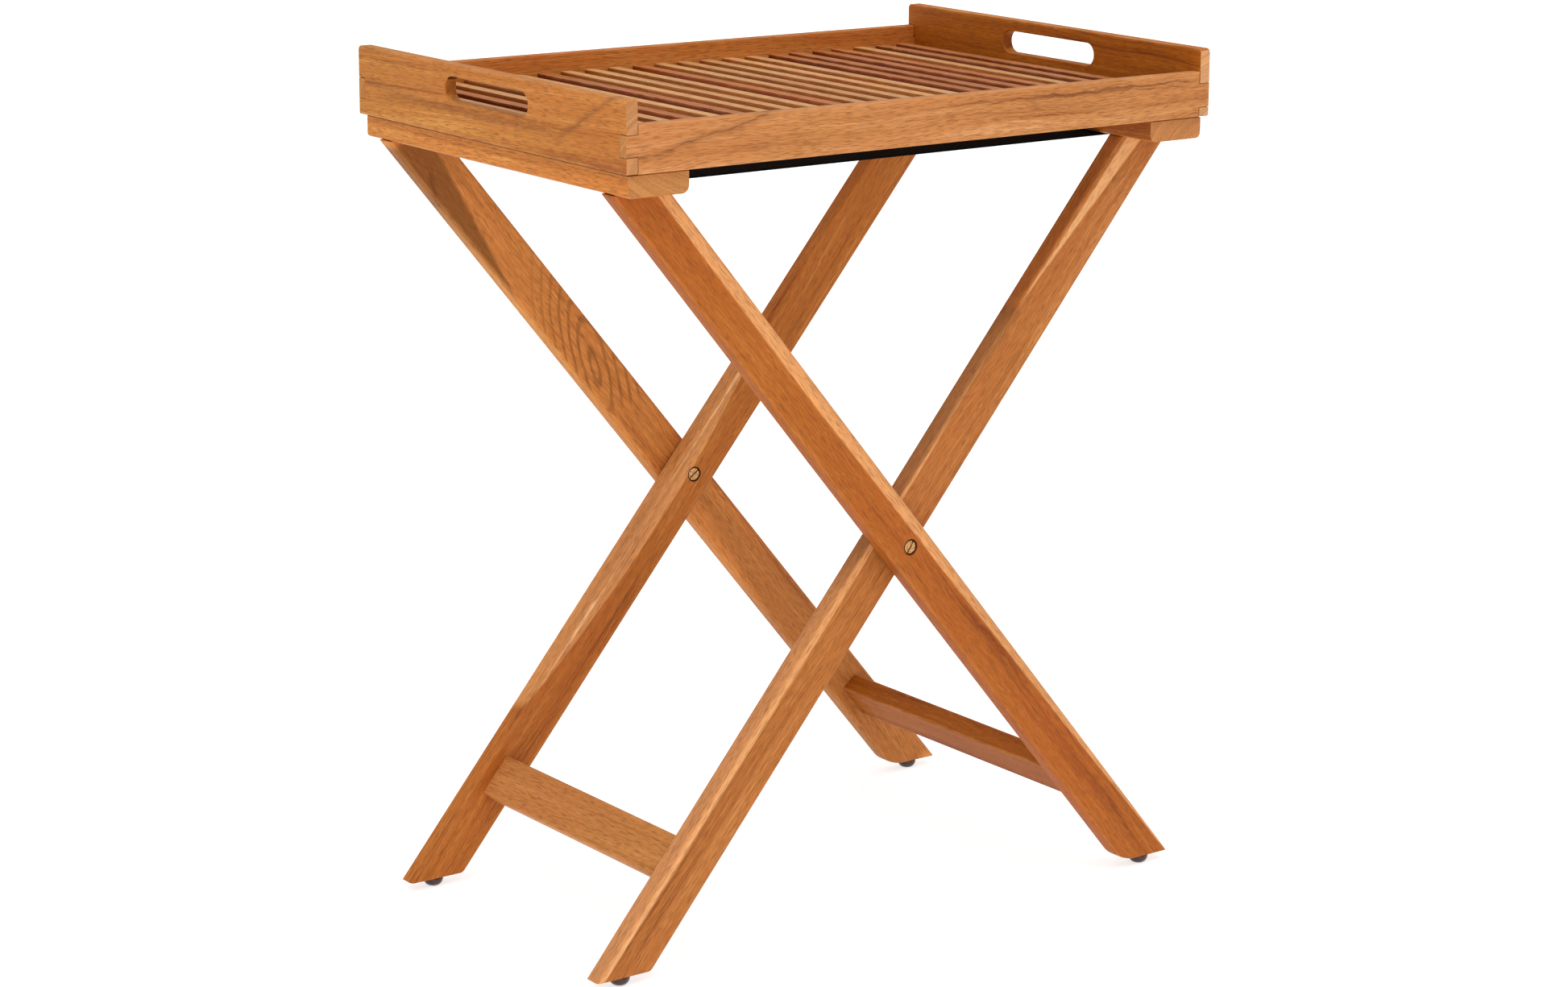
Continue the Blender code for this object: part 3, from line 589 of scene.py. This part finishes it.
def build_tray():
    looks = {
        "tray_end_left": dict(seed=11, tint=(0.95, 0.93, 0.76), figure=0.7, slope=0.03,
                              end=(0.84, 0.85, 1.25),
                              # top edge painted lighter as painted light from above; underside and lower
                              # arris painted dark as painted shade where the tray sits on the rail
                              high_side_shading=((1.08, 1.20, 1.50), (1.08, 1.20, 1.50)),
                              low_side_shading=((0.20, 0.12, 0.08), (0.20, 0.12, 0.08)),
                              streaks=[(-0.0095, 0.0, 0.20, -0.10, 0.21, 0.40, 0.8),
                                       (-0.0765, -0.54, 0.0, -0.215, -0.115, 0.60, 0.6)]),
        "tray_end_right": dict(seed=12, tint=(0.74, 0.54, 0.135), figure=0.9, slope=-0.02,
                               end=(1.10, 1.24, 2.1),
                               # top edge painted lighter as painted light from above
                               high_side_shading=((1.20, 1.40, 2.60), (1.20, 1.40, 2.60))),
    }
    for node, settings in looks.items():
        centre, size = middle_and_size(node)
        x, z = size.y / 2, size.z / 2
        deep = x - 0.010 - GAP
        low, high = (-z + h for h in FINGERS[node.split("_")[2]])
        low, high = low - GAP / 2, high + GAP / 2
        corners = [(-x, -z), (x, -z), (x, low), (deep, low), (deep, high), (x, high), (x, z),
                   (-x, z), (-x, high), (-deep, high), (-deep, low), (-x, low)]
        radii = [0.0015, 0.0015, 0, 0, 0, 0, 0.0042, 0.0042, 0, 0, 0, 0]
        bm = plate(corners, radii, size.x, 0.0010, (HANDLE_LENGTH, HANDLE_HEIGHT, 0.0, HANDLE_Z - z), 0.0014)
        piece("wood_" + node, bm, axes((0, 1, 0), (0, 0, 1), centre),
              teak(node, (size.y, size.z, size.x), **settings), "tray", "teak", node)

    looks = {
        "tray_side_front": dict(seed=21, tint=(0.99, 1.08, 1.66), figure=0.6, slope=-0.01,
                                end=(0.82, 0.80, 0.85),
                                # top edge painted lighter as painted light from above
                                high_side_shading=((1.06, 1.15, 1.30), (1.06, 1.15, 1.30)),
                                streaks=[(-0.0066, 0.0, 0.0, -0.33, -0.285, 0.70, 0.4),
                                         (0.058, 0.215, 0.0, -0.290, -0.165, 0.80, 0.5),
                                         (0.0110, 0.010, 0.0, 0.02, 0.31, 0.60, 0.15),
                                         (0.0080, 0.020, 0.0, 0.10, 0.28, 0.55, 0.10),
                                         (0.0150, -0.020, 0.0, 0.13, 0.30, 0.55, 0.10),
                                         (0.0020, 0.004, 0.0, -0.02, 0.22, 0.35, 0.10)]),
        "tray_side_back": dict(seed=22, tint=(0.98, 0.84, 0.74), figure=0.8, slope=0.01,
                               end=(0.82, 0.80, 0.85)),
    }
    for node, settings in looks.items():
        centre, size = middle_and_size(node)
        full, z = size.x / 2, size.z / 2
        inner = full - 0.012 - GAP
        corners = []
        for end, sign in (("right", 1), ("left", -1)):
            low, high = (-z + h for h in FINGERS[end])
            low, high = low + GAP / 2, high - GAP / 2
            half = [(inner, -z), (inner, low), (full, low), (full, high), (inner, high), (inner, z)]
            corners += [(sign * x, y) for x, y in half[::sign]]
        bm = plate(corners, [0] * 12, size.y, 0.0008)
        piece("wood_" + node, bm, axes((1, 0, 0), (0, 0, 1), centre),
              teak(node, (size.x, size.z, size.y), **settings), "tray", "teak", node)

    for node in ("tray_ledger_front", "tray_ledger_back"):
        centre, size = middle_and_size(node)
        bm = bar(size.x, size.y, size.z, [0.001] * 4, 0.0006, 2)
        look = teak(node, tuple(size), 31 + len(node), (0.76, 0.66, 0.52), figure=0.7)
        piece("wood_" + node, bm, axes((1, 0, 0), (0, 1, 0), centre), look, "tray", "teak_ledger", node)

    # hand-fitted slats: some of browner wood, a few a little out of place; both sides of every slat carry
    # painted shade, deeper on some
    dice = random.Random(5)
    brown = (2, 5, 7, 11, 17, 18, 19, 20, 22, 23)
    deep_shaded_sides = (1, 2, 7, 17, 18, 19, 20, 22, 23)
    moved_x = {11: 0.0014, 17: 0.0022, 19: 0.0018, 22: 0.0016, 23: 0.0018, 8: -0.0006, 13: -0.0008}
    for number in range(1, 24):
        node = f"tray_slat_{number:02d}"
        centre, size = middle_and_size(node)
        bm = bar(size.y, size.x, size.z, [0.0006, 0.0006, 0.0010, 0.0010], 0.0005, 3)
        skew = {19: 0.0022, 20: -0.0018, 21: 0.0010}.get(number, dice.uniform(-0.0006, 0.0006)) / size.y
        centre = centre + Vector((0.0008 + moved_x.get(number, dice.uniform(-0.0003, 0.0003)), 0, 0))
        bright = dice.uniform(0.95, 1.08)
        tint = (0.86, 0.74, 0.84) if number in brown else (1.20, 1.72, 3.20)
        tint = tuple(bright * c for c in tint)
        # painted shade on both sides of each slat, where it lies between its neighbours
        edge = (0.34, 0.15, 0.05) if number in deep_shaded_sides else (0.48, 0.25, 0.10)
        look = teak(node, (size.y, size.x, size.z), 100 + number, tint, figure=0.45,
                    slope=dice.uniform(-0.02, 0.02), pale=dice.uniform(0.02, 0.10),
                    low_side_shading=(edge, edge), high_side_shading=(edge, edge))
        matrix = axes(Vector((skew, 1, 0)).normalized(), Vector((-1, skew, 0)).normalized(), centre)
        piece("wood_" + node, bm, matrix, look, "tray", "teak_slat", node)


# ---- stand -------------------------------------------------------------------------------------

def leg_direction(lean):
    """Down the leg, and across it to its upper edge."""
    c, d = math.cos(LEG_ANGLE), math.sin(LEG_ANGLE)
    return Vector((lean * c, 0, -d)), Vector((lean * d, 0, c))


def leg_mesh(top, low, thick, heel_round):
    """A leg in its grain frame, cut level at both ends, its long edges and its heel rounded over."""
    c, d = math.cos(LEG_ANGLE), math.sin(LEG_ANGLE)
    half = LEG_WIDTH / 2
    drop, rise = PIVOT_Z - low, top - PIVOT_Z
    corners = [((-rise - half * c) / d, -half), ((drop - half * c) / d, -half),
               ((drop + half * c) / d, half), ((-rise + half * c) / d, half)]
    trim = rise * c - RAIL_OUTER_X * d
    ease = 0.0006

    def ring(z, inset, cut_in):
        """One level's outline; below n = trim the head is cut plumb instead, flush with the rail."""
        points = rounded_outline(corners, [0, heel_round, 0, 0], (inset, cut_in, inset, cut_in), 16)
        low_n = points[0][1]
        ends = [(max((cut_in - rise + n * c) / d, (cut_in - RAIL_OUTER_X - n * d) / c), n)
                for n in (low_n, max(trim, low_n + 0.0001))]
        return [(s, n, z) for s, n in [ends[0], *points[1:], ends[1]]]

    levels = []
    for inset, depth in easing(LEG_ROUND, 8):
        over = ease - min(ease, depth)
        levels.append((-thick / 2 + depth, inset, ease - math.sqrt(ease ** 2 - over ** 2)))
    levels += [(-z, inset, cut_in) for z, inset, cut_in in reversed(levels)]
    return loft([ring(*level) for level in levels])


def build_legs():
    looks = {
        "outer_leg_front": dict(bore_shade=0.0078, seed=41, tint=(0.76, 0.565, 0.36), figure=0.45,
                                sap=(0.0095, -0.24, 0.022, 0.0008, 9.0, 0.85)),
        "outer_leg_back": dict(bore_shade=0.0078, seed=42, tint=(1.13, 1.13, 1.28), figure=0.7, slope=0.02,
                               # narrow lower face painted lighter as painted light from below
                               low_side_shading=((1.03, 1.10, 0.92), (0.97, 1.0, 0.87)),
                               arches=[(-0.150, -0.004, -0.39, 0.26, 0.0320, 0.27, 0.68)],
                               # the first two bands darken the head: partly browner wood, partly painted
                               # shade under the tray
                               wedges=[(-0.46, -0.26, -0.0058, -0.080, 0.040, 0.80, (0.200, 0.066, 0.011)),
                                       (-0.46, -0.36, 0.010, 0.0, 0.030, 0.35, (0.300, 0.110, 0.024)),
                                       (0.46, -0.02, 0.0, 0.0, 0.120, 0.50, (0.300, 0.092, 0.022))],
                               streaks=[(-0.1660, -0.366, 0.0, -0.425, -0.385, 0.75, 0.5)]),
        "inner_leg_front": dict(bore_shade=0.0078, seed=43, tint=(0.82, 0.745, 0.79), figure=0.8, slope=-0.015,
                                sap=(0.0155, 0.25, 0.030, 0.0008, 9.0, 0.85),
                                # narrow upper face painted darker as painted shade under the tray, most near
                                # the head
                                high_side_shading=((0.78, 0.68, 0.58), (0.82, 0.78, 0.80)),
                                wedges=[(-0.24, 0.07, 0.0225, 0.0, 0.012, 0.60, (0.250, 0.095, 0.024)),
                                        (-0.45, -0.249, 0.0093, 0.058, 0.016, 0.90, (0.80, 0.40, 0.16)),
                                        # painted highlight along the rounded arris
                                        (0.47, 0.05, 0.0187, 0.0, 0.0026, 0.55, ARRIS_HIGHLIGHT)]),
        "inner_leg_back": dict(bore_shade=0.0078, seed=44, tint=(0.79, 0.65, 0.49), figure=0.9, slope=0.01,
                               sap=(0.0052, 0.06, 0.35, 0.0010, 0.27, 0.62),
                               # narrow upper face painted darker near the head as painted shade under the
                               # tray, a little lighter near the foot as painted light
                               high_side_shading=((0.95, 0.90, 0.80), (1.06, 1.06, 1.00)),
                               # the first three bands are painted highlights along the rounded arris
                               wedges=[(-0.112, 0.060, 0.0192, 0.0, 0.0026, 0.85, ARRIS_HIGHLIGHT),
                                       (0.200, 0.045, 0.0180, 0.004, 0.0022, 0.75, ARRIS_HIGHLIGHT),
                                       (0.165, 0.262, 0.0185, 0.010, 0.0034, 0.85, ARRIS_HIGHLIGHT),
                                       (0.075, 0.190, 0.0120, 0.0, 0.0016, 0.55, (0.30, 0.10, 0.020)),
                                       (0.000, 0.130, 0.0160, 0.0, 0.0012, 0.45, (0.30, 0.10, 0.020))]),
    }
    for node, settings in looks.items():
        inner = node.startswith("inner")
        lean = -1 if inner else 1
        body = "inner_frame" if inner else "outer_frame"
        low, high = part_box(node)
        y, thick = (low.y + high.y) / 2, high.y - low.y
        down, up_edge = leg_direction(lean)
        turn = axes(down, up_edge, (0, 0, 0))
        # local +Z is world -Y for the outer frame and +Y for the inner one
        head_world = high.y if (inner == (y < 0)) else low.y
        face = (head_world - y) * (-lean)
        out = 1 if face > 0 else -1
        bore = turned([(0, -0.03), (LEG_BORE_R, -0.03), (LEG_BORE_R, 0.03), (0, 0.03)], 48)
        r, rim = COUNTERBORE_R, COUNTERBORE_R + 0.0005
        counter = turned([(0, -COUNTERBORE_DEEP), (r, -COUNTERBORE_DEEP), (r, -0.0004), (rim, 0.0001),
                          (rim, 0.01), (0, 0.01)], 64)
        flip = Matrix.Identity(4) if out > 0 else Matrix.Rotation(math.pi, 4, "X")
        counter = moved(counter, Matrix.Translation((0, 0, face)) @ flip)
        bm = cut(leg_mesh(high.z, low.z, thick, HEEL_ROUND["inner" if inner else "outer"]), bore, counter)
        look = teak(node, (0.98, LEG_WIDTH, thick), turn=turn.to_3x3(), **settings)
        piece("wood_" + node, moved(bm, turn), Matrix.Translation((0, y, PIVOT_Z)), look, body, "teak", node)


def build_rails():
    # painted shade: the rails' inner faces, under the tray, painted darker
    inside = ((0.55, 0.42, 0.28), (0.55, 0.42, 0.28))
    looks = {
        "outer_rail": dict(seed=51, tint=(1.12, 1.06, 0.88), figure=0.9, end=(0.83, 0.80, 0.92),
                           low_side_shading=inside),
        "inner_rail": dict(seed=52, tint=(0.98, 0.90, 0.86), figure=0.9, end=(0.85, 0.78, 0.96),
                           high_side_shading=inside),
    }
    for node, settings in looks.items():
        centre, size = middle_and_size(node)
        lower = [0.0072, 0.0032] if node == "outer_rail" else [0.0055, 0.0072]
        bm = bar(size.y, size.x, size.z, lower + [0.0010, 0.0010], 0.0008, 8)
        sinks = []
        word = node.split("_")[0]
        for place in ("front", "back"):
            for count in (1, 2):
                at = middle_and_size(f"{word}_screw_{place}_{count}")[0]
                sink = turned([(0, -0.03), (0.0026, -0.03), (0.0026, -0.0045), (0.0048, -0.0004),
                               (0.0052, 0.0001), (0.0052, 0.01), (0, 0.01)], 32)
                spot = (at.y - centre.y, -(at.x - centre.x), size.z / 2)
                sinks.append(moved(sink, Matrix.Translation(spot)))
        bm = cut(bm, *sinks)
        look = teak(node, (size.y, size.x, size.z), **settings)
        body = "inner_frame" if word == "inner" else "outer_frame"
        piece("wood_" + node, bm, axes((0, 1, 0), (-1, 0, 0), centre), look, body, "teak", node)


def build_stretchers():
    looks = {
        "outer_stretcher": dict(seed=61, tint=(0.60, 0.42, 0.13), figure=0.8),
        "inner_stretcher": dict(seed=62, tint=(0.93, 0.98, 1.24), figure=0.35,
                                # lower narrow face painted lighter as painted light from below
                                high_side_shading=((1.12, 1.12, 1.12), (1.12, 1.12, 1.12))),
    }
    for node, settings in looks.items():
        inner = node.startswith("inner")
        lean = -1 if inner else 1
        centre = middle_and_size(node)[0]
        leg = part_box(("inner" if inner else "outer") + "_leg_back")
        reach = leg[0].y - GAP
        down = leg_direction(lean)[0]
        bm = bar(2 * reach, STRETCHER_WIDTH, STRETCHER_THICK, [0.0022] * 4, 0.0003, 5)
        turn = axes((0, 1, 0), down, (0, 0, 0))
        size = (2 * reach, STRETCHER_WIDTH, STRETCHER_THICK)
        look = teak(node, size, turn=turn.to_3x3(), **settings)
        body = "inner_frame" if inner else "outer_frame"
        piece("wood_" + node, moved(bm, turn), Matrix.Translation(centre), look, body, "teak", node)


def slotted_head(shank, shank_long, angle):
    """A flat slotted head on a shank, its outside at local z = 0 and its shank towards -Z."""
    profile = [(0, 0.0)]
    profile += [(HEAD_R * math.sin(math.radians(90 * k / 7)) * 0.94, 0.0) for k in range(1, 7)]
    profile += [(HEAD_R * 0.965, -0.00012), (HEAD_R, -0.0005), (HEAD_R, -HEAD_THICK), (shank, -HEAD_THICK),
                (shank, -HEAD_THICK - shank_long), (0, -HEAD_THICK - shank_long)]
    bm = turned(profile, 64)
    tool = bar(0.03, HEAD_SLOT_WIDE, 0.02, [0.0001] * 4, 0.0001, 1)
    turn = Matrix.Rotation(angle, 4, "Z")
    return cut(bm, moved(tool, turn @ Matrix.Translation((0, 0, 0.010 - HEAD_SLOT_DEEP))))


def build_hardware():
    for place, side in (("front", -1), ("back", 1)):
        low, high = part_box("pivot_bolt_" + place)
        y = low.y if side < 0 else high.y
        # local Z points out of the leg
        matrix = axes((-side, 0, 0), (0, 0, 1), (0, y, PIVOT_Z))
        bm = slotted_head(0.0029, 0.0276, math.radians(58))
        piece("bolt_" + place, bm, matrix, brass("bolt_" + place, 70 + side), "outer_frame", "brass",
              "pivot_bolt_" + place, sharp=30)
        low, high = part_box("pivot_nut_" + place)
        y = high.y if side < 0 else low.y
        matrix = axes((side, 0, 0), (0, 0, 1), (0, y, PIVOT_Z))
        bm = slotted_head(0.0042, high.y - low.y - HEAD_THICK, math.radians(35))
        hollow = turned([(0, -0.1), (0.0032, -0.1), (0.0032, -0.0150), (0, -0.0150)], 32)
        piece("sleeve_nut_" + place, cut(bm, hollow), matrix, brass("nut_" + place, 80 + side), "outer_frame",
              "brass", "pivot_nut_" + place, sharp=30)
        centre, size = middle_and_size("pivot_washer_" + place)
        t = size.y / 2
        ring = turned([(0.0045, -t), (0.0082, -t), (0.0085, -t + 0.0003), (0.0085, t - 0.0003), (0.0082, t),
                       (0.0045, t), (0.0045, -t)], 64)
        bmesh.ops.remove_doubles(ring, verts=ring.verts, dist=1e-7)
        bmesh.ops.recalc_face_normals(ring, faces=ring.faces)
        look = brass("spacer_" + place, 90 + side)
        piece("spacer_" + place, ring, axes((1, 0, 0), (0, 0, 1), centre), look, "outer_frame", "brass",
              "pivot_washer_" + place, sharp=30)
        for word in ("outer", "inner"):
            body = word + "_frame"
            for count in (1, 2):
                node = f"{word}_screw_{place}_{count}"
                centre, top = middle_and_size(node)[0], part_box(node)[1].z
                dice = random.Random(node)
                bm = turned([(0, 0), (0.0040, 0), (0.0042, -0.0002), (0.0020, -0.0030), (0.0020, -0.0330),
                             (0.0009, -0.0380), (0, -0.0397)], 32)
                tool = bar(0.02, 0.0010, 0.01, [0.0001] * 4, 0.0001, 1)
                turn = Matrix.Rotation(dice.uniform(0, math.pi), 4, "Z")
                bm = cut(bm, moved(tool, turn @ Matrix.Translation((0, 0, 0.005 - 0.0009))))
                piece("rail_" + node, bm, Matrix.Translation((centre.x, centre.y, top)), brass(node, node),
                      body, "brass", node, sharp=30)
            node = f"{word}_glide_{place}"
            low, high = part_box(node)
            x, y = (low.x + high.x) / 2, (low.y + high.y) / 2
            seat, r, flat = 0.0087, 0.0095, 0.0030
            profile = [(0, -seat), (flat, -seat)]
            for k in range(1, 13):
                a = math.radians(90 * k / 12)
                profile.append((flat + (r - flat) * math.sin(a), -seat + (seat - 0.0014) * (1 - math.cos(a))))
            profile += [(r, -0.0004), (r - 0.0004, 0.0), (0.0030, 0.0), (0.0030, 0.012), (0.0015, 0.014),
                        (0, 0.014)]
            piece("dome_" + node, turned(profile, 64), Matrix.Translation((x, y, seat)),
                  moulded_plastic(node), body, "glide_plastic", node, sharp=50)


def build_straps():
    """Each strap is one length of webbing, flat under both rails and taut between them."""
    for place in ("front", "back"):
        node = "strap_" + place
        low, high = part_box(node)
        width, thick, length = high.y - low.y, high.z - low.z, high.x - low.x
        middle_y, middle_z = (low.y + high.y) / 2, (low.z + high.z) / 2
        spans = 160
        bm = bmesh.new()
        uv = bm.loops.layers.uv.new("weave")
        w, t = width / 2, thick / 2
        outline = rounded_outline([(-w, -t), (w, -t), (w, t), (-w, t)], [0.00075] * 4, 0.0, 3)
        columns = 12
        bottom = [(-w + 0.00075 + (2 * w - 0.0015) * k / columns, -t) for k in range(1, columns)]
        top = [(-y, -z) for y, z in bottom]
        ring = outline[0:4] + bottom + outline[4:8] + outline[8:12] + top + outline[12:16]
        rows = []
        for k in range(spans + 1):
            x = low.x + length * k / spans
            rows.append([bm.verts.new((x, middle_y + y, middle_z + z)) for y, z in ring])
        for k, (a, b) in enumerate(zip(rows, rows[1:])):
            for i in range(len(ring)):
                j = (i + 1) % len(ring)
                face = bm.faces.new((a[i], a[j], b[j], b[i]))
                for loop in face.loops:
                    loop[uv].uv = (loop.vert.co.x, loop.vert.co.y - middle_y)
        for row in (rows[0], rows[-1]):
            for loop in bm.faces.new(row).loops:
                loop[uv].uv = (loop.vert.co.x, loop.vert.co.y - middle_y)
        bmesh.ops.recalc_face_normals(bm, faces=bm.faces)
        mesh = bpy.data.meshes.new("webbing_" + node)
        bm.to_mesh(mesh)
        bm.free()
        obj = bpy.data.objects.new("webbing_" + node, mesh)
        bpy.context.collection.objects.link(obj)
        mesh.materials.append(webbing(node))
        mesh.shade_smooth()
        mesh.set_sharp_from_angle(angle=math.radians(60))
        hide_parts(node)
        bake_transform(obj)


# ---- studio ------------------------------------------------------------------------------------

def build_studio():
    bm = bmesh.new()
    bmesh.ops.create_grid(bm, x_segments=1, y_segments=1, size=30.0)
    mesh = bpy.data.meshes.new("floor")
    bm.to_mesh(mesh)
    bm.free()
    floor = bpy.data.objects.new("floor", mesh)
    floor.location = (0, 0, -0.0002)
    bpy.context.collection.objects.link(floor)
    s = Shader("floor", 0.9, specular=0.1)
    s.surface.inputs["Base Color"].default_value = (0.52, 0.52, 0.52, 1)
    s.surface.inputs["Emission Color"].default_value = (1, 1, 1, 1)
    s.surface.inputs["Emission Strength"].default_value = 0.69
    mesh.materials.append(s.material)

    world = bpy.data.worlds.new("studio")
    bpy.context.scene.world = world
    world.use_nodes = True
    background = world.node_tree.nodes["Background"]
    background.inputs[0].default_value = (1.0, 1.0, 1.0, 1)
    background.inputs[1].default_value = 0.62

    def area(name, place, target, size, power):
        light = bpy.data.lights.new(name, "AREA")
        light.shape, light.size, light.energy = "DISK", size, power
        lamp = bpy.data.objects.new(name, light)
        lamp.location = place
        lamp.rotation_euler = (Vector(target) - Vector(place)).to_track_quat("-Z", "Y").to_euler()
        bpy.context.collection.objects.link(lamp)

    def sun(name, towards, share, spread):
        """A broad far light; share is the brightness it gives a white surface that faces it."""
        light = bpy.data.lights.new(name, "SUN")
        light.energy, light.angle = share * math.pi, math.radians(spread)
        lamp = bpy.data.objects.new(name, light)
        lamp.rotation_euler = Vector(towards).to_track_quat("-Z", "Y").to_euler()
        bpy.context.collection.objects.link(lamp)

    sun("key", (0.18, 0.30, -0.94), 0.50, 60)
    area("front", (-2.2, -3.2, 0.9), (0, 0, 0.45), 1.2, 24)


def build_camera():
    """A long lens 3.4 m to the front left of the table and 1.22 m up, tilted down at it."""
    yaw, pitch, roll = (math.radians(a) for a in (37.637, -12.815, 0.6606))
    ahead = Vector((math.sin(yaw) * math.cos(pitch), math.cos(yaw) * math.cos(pitch), math.sin(pitch)))
    right = Vector((math.cos(yaw), -math.sin(yaw), 0))
    up = right.cross(ahead)
    x = right * math.cos(roll) + up * math.sin(roll)
    y = up * math.cos(roll) - right * math.sin(roll)
    data = bpy.data.cameras.new("camera")
    data.sensor_width = 36.0
    data.lens = 85.93
    data.shift_x, data.shift_y = -0.0596, -0.0435
    data.clip_end = 200
    camera = bpy.data.objects.new("camera", data)
    camera.matrix_world = Matrix(((x.x, y.x, -ahead.x, -2.0293), (x.y, y.y, -ahead.y, -2.7741),
                                  (x.z, y.z, -ahead.z, 1.2231), (0, 0, 0, 1)))
    bpy.context.collection.objects.link(camera)
    bpy.context.scene.camera = camera
    bpy.context.scene.view_settings.view_transform = "Standard"


build_camera()
build_studio()
build_tray()
build_legs()
build_rails()
build_stretchers()
build_hardware()
build_straps()

bpy.context.view_layer.update()
